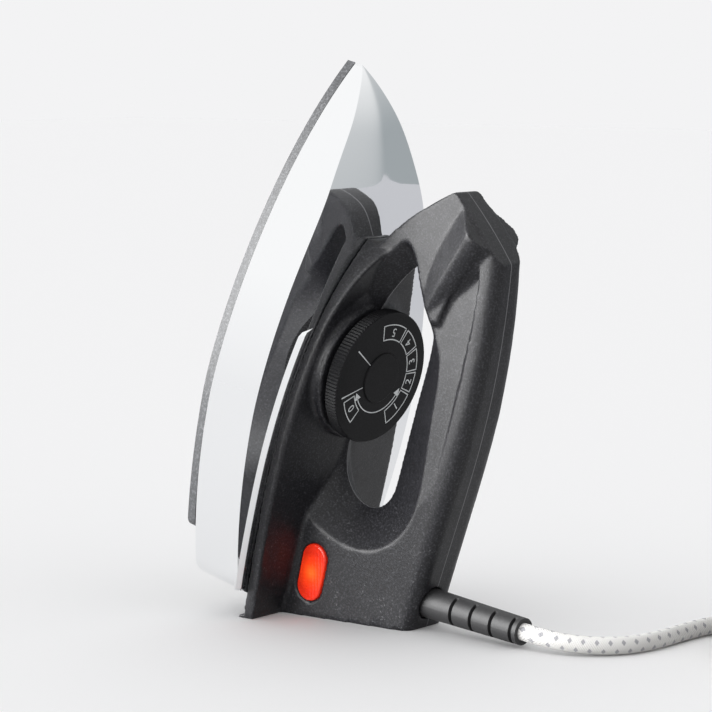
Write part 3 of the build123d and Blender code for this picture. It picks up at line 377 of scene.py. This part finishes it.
finishes = {
    nonStick: ["soleplate"],
    chrome: ["chrome_cover"],
    phenolic: ["handle", "rear_cover"],
    dialBlack: ["dial_knob", "dial_cap"],
    lensRed: ["lamp_lens"],
    rubber: ["strain_relief", "plug_body"],
    plain["zinc-plated steel"]: [
        "thermostat_frame", "bimetal_blade", "stack_rivet", "rear_closing_plate", "cover_screws",
        "handle_screws", "rear_cover_screw", "clamp_screws", "dial_spindle", "dial_spring", "lamp_holder",
        "thermal_fuse", "silver_contacts"],
    plain["oxidised heater sheath"]: ["heating_element", "heater_terminals"],
    plain["rolled brass"]: ["contact_springs", "terminal_screws"],
    plain["fired steatite"]: ["thermostat_insulators"],
    plain["brown phenolic"]: ["terminal_block", "cord_clamp"],
    plain["silicone sleeve"]: ["lead_wires"],
    plain["clear lamp glass"]: ["neon_lamp"],
    plain["nylon tie"]: ["coil_tie"],
    plain["nickel-plated brass"]: ["plug_pins"],
}
for material, names in finishes.items():
    for name in names:
        setMaterial(name, material)
print("materials made")

# Chrome cover, remodelled as one smooth skin: a grid over the plan for the deck, its skirt and a rolled
# shoulder, which is as wide as the narrow cells at the nose allow
coverSpec = {
    "nose": (41.4, 57.0), "belly": 32.0, "tip": 0.0, "widest": 142.0, "halfWidth": 53.6, "length": 222.0,
    "rearHalf": 40.8, "corner": 8.0, "steps": (72, 30, 6), "across": 44,
    "base": 4.4, "draft": 0.02, "wall": 0.9, "roll": 1.3, "rollSteps": 4,
    # place behind the nose, shoulder height, slope of the deck in degrees and how round its ridge is, as a
    # share of the half width
    "sections": [(-6, 1.0, 13, 0.15), (0, 7.8, 13, 0.15), (10, 15.4, 13, 0.15), (20, 20.3, 13, 0.15),
                 (30, 23.2, 13, 0.15), (42, 25.8, 12, 0.14), (50, 27.3, 11.5, 0.13), (60, 28.2, 11, 0.12),
                 (84, 28.5, 10.5, 0.12), (112, 28.5, 9, 0.12), (142, 28.5, 7, 0.12), (187, 28.4, 6, 0.15),
                 (232, 28.2, 5, 0.2)],
}


def naturalCurve(places, values):
    # a natural cubic through the values, as a function of the place
    count = len(places)
    matrix, right = numpy.identity(count), numpy.zeros(count)
    for i in range(1, count - 1):
        before, after = places[i] - places[i - 1], places[i + 1] - places[i]
        matrix[i, i - 1:i + 2] = before, 2 * (before + after), after
        right[i] = 6 * ((values[i + 1] - values[i]) / after - (values[i] - values[i - 1]) / before)
    bends = numpy.linalg.solve(matrix, right)

    def at(place):
        i = min(max(bisect.bisect(places, place) - 1, 0), count - 2)
        step = places[i + 1] - places[i]
        far, near = (place - places[i]) / step, (places[i + 1] - place) / step
        curve = ((near ** 3 - near) * bends[i] + (far ** 3 - far) * bends[i + 1]) * step ** 2 / 6
        return near * values[i] + far * values[i + 1] + curve
    return at


sectionPlaces = [row[0] for row in coverSpec["sections"]]
shoulderAt, slopeAt, ridgeAt = [naturalCurve(sectionPlaces, [row[k] for row in coverSpec["sections"]])
                                for k in (1, 2, 3)]


def deckHeight(x, y, half):
    # height of the deck over a place of the plan: two slopes from the shoulders that meet in a round ridge
    ridge = ridgeAt(-x) * half
    rise = math.tan(math.radians(slopeAt(-x)))
    return shoulderAt(-x) + rise * (math.hypot(half, ridge) - math.hypot(y, ridge))


def leafOutline(spec):
    # half of a leaf-shaped plan: nose, flank, widest place, side, rear corner
    flankSteps, sideSteps, cornerSteps = spec["steps"]
    angle, reach = math.radians(spec["nose"][0]), spec["nose"][1]
    tip, side = spec["tip"], spec["halfWidth"]
    flank = geometry.interpolate_bezier(
        Vector((-tip, 0)), Vector((-tip - reach * math.cos(angle), reach * math.sin(angle))),
        Vector((-spec["widest"] + spec["belly"], side)), Vector((-spec["widest"], side)), flankSteps)
    run, fall = spec["length"] - spec["widest"], side - spec["rearHalf"]
    radius = (run ** 2 + fall ** 2) / (2 * fall)
    turn = math.asin((run - spec["corner"]) / radius)
    arc = [Vector((-spec["widest"] - radius * math.sin(turn * k / sideSteps),
                   side - radius * (1 - math.cos(turn * k / sideSteps)))) for k in range(1, sideSteps + 1)]
    corner = Vector((-spec["length"], spec["rearHalf"]))
    rear = corner - Vector((0, spec["corner"]))
    pull = 0.55  # of the way to the corner, for the two handles of its round
    rounding = geometry.interpolate_bezier(arc[-1], arc[-1].lerp(corner, pull), corner.lerp(rear, 1 - pull),
                                           rear, cornerSteps)
    return flank + arc + rounding[1:]


def halfWidth(line, x):
    # half width of a plan at a place behind the nose
    for near, far in zip(line, line[1:]):
        if far.x <= x <= near.x and far.x < near.x:
            return near.lerp(far, (near.x - x) / (near.x - far.x)).y
    return line[-1].y


def flankWidth(x):
    # half width of the cover, as if its rear corners weren't rounded
    return halfWidth(outline, max(x, coverSpec["corner"] - coverSpec["length"]))


outline = leafOutline(coverSpec)
flangeSpec = {"nose": (51.0, 33.4), "belly": 50.0, "tip": 57.0, "widest": 175.0, "halfWidth": 38.4,
              "length": 240.1, "rearHalf": 34.5, "corner": 1.0, "steps": (90, 40, 2)}
flangeLine = leafOutline(flangeSpec)
rows = len(outline) - 1
bm = bmesh.new()
bmesh.ops.create_grid(bm, x_segments=rows, y_segments=coverSpec["across"], size=1.0)
for vert in bm.verts:
    row = round((vert.co.x + 1) / 2 * rows)
    x, half = outline[row]
    half = max(0.0, half - coverSpec["draft"] * (shoulderAt(-x) - coverSpec["base"]))
    y = half * vert.co.y
    vert.co = (x, y, deckHeight(x, y, max(half, flankWidth(x))))
bmesh.ops.remove_doubles(bm, verts=bm.verts, dist=0.01)
bmesh.ops.recalc_face_normals(bm, faces=bm.faces)
shoulder = [edge for edge in bm.edges if edge.is_boundary]
skirt = bmesh.ops.extrude_edge_only(bm, edges=shoulder)
for vert in [item for item in skirt["geom"] if isinstance(item, bmesh.types.BMVert)]:
    out = 1 + coverSpec["draft"] * (vert.co.z - coverSpec["base"]) / max(abs(vert.co.y), 1.0)
    vert.co.y *= out
    vert.co.z = coverSpec["base"]
bmesh.ops.recalc_face_normals(bm, faces=bm.faces)
bmesh.ops.bevel(bm, geom=shoulder, offset=coverSpec["roll"], offset_type="OFFSET",
                segments=coverSpec["rollSteps"], profile=0.5, affect="EDGES", material=-1, clamp_overlap=True)
if sum(face.normal.z for face in bm.faces) < 0:
    bmesh.ops.reverse_faces(bm, faces=bm.faces)
bmesh.ops.transform(bm, matrix=toStand, verts=bm.verts)
coverSkin = newPiece("coverSkin", bm, chrome, "iron")
wall = coverSkin.modifiers.new("wall", "SOLIDIFY")
wall.thickness = coverSpec["wall"] / 1000
wall.offset = -1.0
evenNormals = coverSkin.modifiers.new("evenNormals", "WEIGHTED_NORMAL")
evenNormals.keep_sharp = False
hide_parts("chrome_cover")

# Raised strips of the deck beside the handle's flange: a slow rise to a crest and a steeper outer face
stripSpec = {"front": -104.0, "rear": -219.0, "inner": 0.6, "outer": 6.8, "crest": 0.62, "rise": 1.3,
             "sink": 0.05, "steps": 70, "across": 20, "runOut": 4.0}
bm = bmesh.new()
for side in (1, -1):
    made = bmesh.ops.create_grid(bm, x_segments=stripSpec["steps"], y_segments=stripSpec["across"], size=1.0)
    for vert in made["verts"]:
        along, over = (vert.co.x + 1) / 2, (vert.co.y + 1) / 2
        x = stripSpec["front"] + (stripSpec["rear"] - stripSpec["front"]) * along
        # the front end is a half round: the outer edge draws in over the run-out
        taper = min(1.0, (stripSpec["front"] - x) / stripSpec["runOut"])
        width = (stripSpec["outer"] - stripSpec["inner"]) * math.sqrt(max(0.0, 1 - (1 - taper) ** 2))
        y = halfWidth(flangeLine, x) + stripSpec["inner"] + width * over
        bead = min(over / stripSpec["crest"], (1 - over) / (1 - stripSpec["crest"]))
        lift = stripSpec["rise"] * bead * math.sqrt(taper) - stripSpec["sink"]
        vert.co = (x, side * y, deckHeight(x, y, flankWidth(x)) + lift)
bmesh.ops.recalc_face_normals(bm, faces=bm.faces)
for face in bm.faces:
    if face.normal.z < 0:
        face.normal_flip()
bmesh.ops.transform(bm, matrix=toStand, verts=bm.verts)
strips = newPiece("deckStrips", bm, chrome, "iron")
stripWall = strips.modifiers.new("stripWall", "SOLIDIFY")
stripWall.thickness = coverSpec["wall"] / 1000
stripWall.offset = -1.0
for number, piece in enumerate((floor, coverSkin, strips)):
    lampless.objects.link(piece)
    lampless.collection_objects[number].light_linking.link_state = "EXCLUDE"
print("cover modelled")

# Handle: the CAD moulding with its edges rounded as a mould leaves them, and a foot seated on the deck
handleSpec = {"voxel": 0.00085, "passes": 2, "factor": 0.5, "footFront": -66.0, "footRear": -222.0,
              "footHeight": 4.5, "footInset": 0.7, "footGap": 0.3, "footSteps": (60, 12)}
bm = bmesh.new()
alongFoot, acrossFoot = handleSpec["footSteps"]
footLength = handleSpec["footRear"] - handleSpec["footFront"]
foot = bmesh.ops.create_grid(bm, x_segments=alongFoot, y_segments=acrossFoot, size=1.0)["verts"]
for vert in foot:
    x = handleSpec["footFront"] + footLength * (vert.co.x + 1) / 2
    y = (halfWidth(flangeLine, x) - handleSpec["footInset"]) * vert.co.y
    vert.co = (x, y, deckHeight(x, y, flankWidth(x)) + handleSpec["footGap"])
raised = bmesh.ops.extrude_face_region(bm, geom=bm.faces[:], use_keep_orig=True)
bmesh.ops.translate(bm, vec=(0, 0, handleSpec["footHeight"]),
                    verts=[item for item in raised["geom"] if isinstance(item, bmesh.types.BMVert)])
bmesh.ops.recalc_face_normals(bm, faces=bm.faces)
bmesh.ops.transform(bm, matrix=toStand, verts=bm.verts)
bm.from_mesh(nodes["handle"].data)
bmesh.ops.remove_doubles(bm, verts=bm.verts, dist=1e-6)
moulding = newPiece("handleMoulding", bm, phenolic, "iron")
skin = moulding.modifiers.new("skin", "REMESH")
skin.mode = "VOXEL"
skin.voxel_size = handleSpec["voxel"]
skin.use_smooth_shade = True
soften = moulding.modifiers.new("soften", "SMOOTH")
soften.iterations = handleSpec["passes"]
soften.factor = handleSpec["factor"]
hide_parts("handle")
print("handle modelled")

# Printing on the dial: a scale of boxes with plain numbers, two pointer lines and a double-headed turn arrow
printSpec = {
    "place": (-122.9, 0.0, 48.8), "ink": 0.03, "stroke": 0.45, "ring": (16.6, 23.4), "textSize": 5.2,
    "textRing": 20.0, "stepDegrees": 3, "lineRing": 18.0,
    # from and to angle of each box, from the nose's direction towards the lamp's side, with its number
    "boxes": [(11.5, -28.4, "5"), (-31, -59, "4"), (-61, -87, "3"), (-89, -112, "2"), (-114, -156, "1"),
              (141, 111, "0")],
    # angle, inner and outer radius of each line
    "lines": [(54.0, 10.9, 22.8), (105.5, 11.5, 24.5)],
    "arrow": {"radius": 15.2, "from": 118.0, "to": 239.0, "head": 2.2},
}
bm = bmesh.new()


def stroke(inner, outer, start, end):
    # a stretch of ring: a radial edge spun about the dial's axis
    first, turn = math.radians(start), math.radians(end - start)
    ends = [bm.verts.new((radius * math.cos(first), radius * math.sin(first), 0))
            for radius in (inner, outer)]
    edge = bm.edges.new(ends)
    steps = max(1, round(abs(end - start) / printSpec["stepDegrees"]))
    bmesh.ops.spin(bm, geom=ends + [edge], axis=(0, 0, 1), cent=(0, 0, 0), angle=turn, steps=steps)


for start, end, number in printSpec["boxes"]:
    low, high = printSpec["ring"]
    line = printSpec["stroke"]
    for inner, outer in ((low, low + line), (high - line, high)):
        stroke(inner, outer, end, start)
    for corner, way in ((end, 1), (start, -1)):
        stroke(low, high, corner, corner + way * math.degrees(line / printSpec["textRing"]))
    words = bpy.data.curves.new("dialNumber", "FONT")
    words.body = number
    words.size = printSpec["textSize"]
    words.align_x = "CENTER"
    words.align_y = "CENTER"
    shape = bpy.data.objects.new("dialNumber", words)
    flat = bpy.data.meshes.new_from_object(shape)
    bpy.data.objects.remove(shape)
    middle = math.radians((start + end) / 2)
    # the figures' tops point to the middle
    flat.transform(Matrix.Rotation(middle, 4, "Z") @ Matrix.Translation((printSpec["textRing"], 0, 0))
                   @ Matrix.Rotation(math.pi / 2, 4, "Z"))
    bm.from_mesh(flat)
    bpy.data.meshes.remove(flat)
for angle, inner, outer in printSpec["lines"]:
    half = math.degrees(printSpec["stroke"] / 2 / printSpec["lineRing"])
    stroke(inner, outer, angle - half, angle + half)
arrow = printSpec["arrow"]
halfStroke = printSpec["stroke"] / 2
stroke(arrow["radius"] - halfStroke, arrow["radius"] + halfStroke, arrow["from"], arrow["to"])
for angle, turned in ((arrow["from"], math.pi), (arrow["to"], 0.0)):
    head = bmesh.ops.create_circle(bm, cap_ends=True, segments=3, radius=arrow["head"])
    bmesh.ops.transform(bm, verts=head["verts"], matrix=Matrix.Rotation(math.radians(angle), 4, "Z")
                        @ Matrix.Translation((arrow["radius"], 0, 0))
                        @ Matrix.Rotation(turned, 4, "Z"))
for face in bm.faces:
    face.normal_update()
    if face.normal.z < 0:
        face.normal_flip()
raised = bmesh.ops.extrude_face_region(bm, geom=bm.faces[:], use_keep_orig=True)
bmesh.ops.translate(bm, vec=(0, 0, printSpec["ink"]),
                    verts=[item for item in raised["geom"] if isinstance(item, bmesh.types.BMVert)])
bmesh.ops.recalc_face_normals(bm, faces=bm.faces)
bmesh.ops.transform(bm, matrix=toStand @ Matrix.Translation(printSpec["place"]), verts=bm.verts)
newPiece("dialPrint", bm, ink, "dial", smooth=False)
print("dial printed")

# Mains lead: one spline from the relief's end, along the floor, round the coil and up to the plug
cordSpec = {
    "diameter": 0.0072, "length": 1.60, "exit": (0.07707, -0.00460, 0.00659),
    "route": [(0.08900, -0.00544, 0.00555), (0.1002, -0.0021, 0.0045), (0.1099, 0.0049, 0.0039),
              (0.1166, 0.0149, 0.0037), (0.1195, 0.0286, 0.0037), (0.1199, 0.0430, 0.0037),
              (0.1210, 0.0574, 0.0037), (0.1250, 0.0710, 0.0038), (0.1324, 0.0820, 0.0040),
              (0.1435, 0.0900, 0.0043), (0.1585, 0.0952, 0.0046)],
    "coilCentre": (0.1822, 0.0567), "coilRadii": (0.0416, 0.0344), "coilHeights": (0.0046, 0.0118, 0.0190),
    "coilStart": 100.0, "pointsPerTurn": 16, "stepShare": 0.2,
    "tailStart": -100.0, "tailStep": 20.0,
    "tailHeights": (0.0190, 0.0204, 0.0232, 0.0256, 0.0266, 0.0272, 0.0282, 0.0297, 0.0308, 0.0308),
}
cordLine = bpy.data.curves.new("mainsLead", "CURVE")
cordLine.dimensions = "3D"
cordLine.bevel_depth = 1.0  # of each point's own radius
cordLine.bevel_resolution = 5
cordLine.resolution_u = 8


def onCoil(radius, degrees, height):
    # a place round the coil's axis
    angle = math.radians(degrees)
    across = Vector((radius * math.cos(angle), radius * math.sin(angle), height))
    return across + Vector((*cordSpec["coilCentre"], 0.0))


# The lead goes round clockwise: inward, outward and inward again, with a step at the end of each turn
linePoints = [Vector(p) for p in [cordSpec["exit"], *cordSpec["route"]]]
turnStep = 360.0 / cordSpec["pointsPerTurn"]
bulge = 1 / (0.75 + 0.25 * math.cos(math.radians(turnStep)))  # the curve runs inside its points
turns = []
for number, height in enumerate(cordSpec["coilHeights"]):
    radii = cordSpec["coilRadii"] if number % 2 == 0 else cordSpec["coilRadii"][::-1]
    turns += [(radius, height) for radius in radii]
for (radius, height), (nextRadius, nextHeight) in zip(turns, turns[1:] + turns[-1:]):
    for k in range(cordSpec["pointsPerTurn"]):
        degrees = cordSpec["coilStart"] - k * turnStep
        if nextRadius == radius and nextHeight == height and degrees < cordSpec["tailStart"] + turnStep / 2:
            break
        ease = max(0.0, (k / cordSpec["pointsPerTurn"] - 1 + cordSpec["stepShare"]) / cordSpec["stepShare"])
        linePoints.append(onCoil((radius + (nextRadius - radius) * ease) * bulge, degrees,
                                 height + (nextHeight - height) * ease))
for number, height in enumerate(cordSpec["tailHeights"]):
    degrees = cordSpec["tailStart"] - number * cordSpec["tailStep"]
    linePoints.append(onCoil(cordSpec["coilRadii"][-1], degrees, height))
spline = cordLine.splines.new("NURBS")
spline.points.add(len(linePoints) - 1)
for point, place in zip(spline.points, linePoints):
    point.co = (*place, 1.0)
    point.radius = cordSpec["diameter"] / 2
spline.order_u = 3
spline.use_endpoint_u = True
lead = bpy.data.objects.new("mainsLead", cordLine)
bpy.context.scene.collection.objects.link(lead)
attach(lead, "iron")
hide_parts("power_cord", "cord_coil", "cord_tail")

# Textile braid: white yarn in a tight plait, with rows of grey flecks that wind round it
braid, tree, shader = newMaterial("white textile braid")
braidSpec = {"fleckPitch": 0.0062, "rows": 3.0, "fleckShare": 0.36, "yarnPitch": 0.0011, "yarns": 16,
             "yarnColour": "#acaba9", "fleckColour": "#7a7a7d"}
where = addNode(tree, "ShaderNodeTexCoord")
apart = addNode(tree, "ShaderNodeSeparateXYZ", None, {"Vector": where.outputs["UV"]})
along = addNode(tree, "ShaderNodeMath", {"operation": "MULTIPLY"},
                {0: apart.outputs["X"], 1: cordSpec["length"] / braidSpec["fleckPitch"]})
around = addNode(tree, "ShaderNodeMath", {"operation": "MULTIPLY"},
                 {0: apart.outputs["Y"], 1: braidSpec["rows"]})
# a fleck shows where two diagonals of the plait cross
diagonals = []
for way in ("ADD", "SUBTRACT"):
    slant = addNode(tree, "ShaderNodeMath", {"operation": way}, {0: along.outputs[0], 1: around.outputs[0]})
    wave = addNode(tree, "ShaderNodeMath", {"operation": "FRACT"}, {0: slant.outputs[0]})
    diagonals.append(addNode(tree, "ShaderNodeMath", {"operation": "LESS_THAN"},
                             {0: wave.outputs[0], 1: braidSpec["fleckShare"]}))
fleck = addNode(tree, "ShaderNodeMath", {"operation": "MULTIPLY"},
                {0: diagonals[0].outputs[0], 1: diagonals[1].outputs[0]})
tone = addNode(tree, "ShaderNodeMix", {"data_type": "RGBA"},
               {0: fleck.outputs[0], 6: linear(braidSpec["yarnColour"]), 7: linear(braidSpec["fleckColour"])})
tree.links.new(tone.outputs[2], shader.inputs["Base Color"])
ridges = []
for axis, count in (("X", cordSpec["length"] / braidSpec["yarnPitch"]), ("Y", braidSpec["yarns"])):
    phase = addNode(tree, "ShaderNodeMath", {"operation": "MULTIPLY"},
                    {0: apart.outputs[axis], 1: count * 2 * math.pi})
    ridges.append(addNode(tree, "ShaderNodeMath", {"operation": "SINE"}, {0: phase.outputs[0]}))
yarn = addNode(tree, "ShaderNodeMath", {"operation": "MULTIPLY"},
               {0: ridges[0].outputs[0], 1: ridges[1].outputs[0]})
shader.inputs["Roughness"].default_value = 0.85
shader.inputs["Sheen Weight"].default_value = 0.2
bump = addNode(tree, "ShaderNodeBump", None, {"Height": yarn.outputs[0], "Strength": 0.5, "Distance": 0.0003})
tree.links.new(bump.outputs["Normal"], shader.inputs["Normal"])
cordLine.materials.append(braid)
setMaterial("cord_in_relief", braid)
print("mains lead laid:", len(linePoints), "points")

bpy.context.scene.view_settings.view_transform = "Standard"
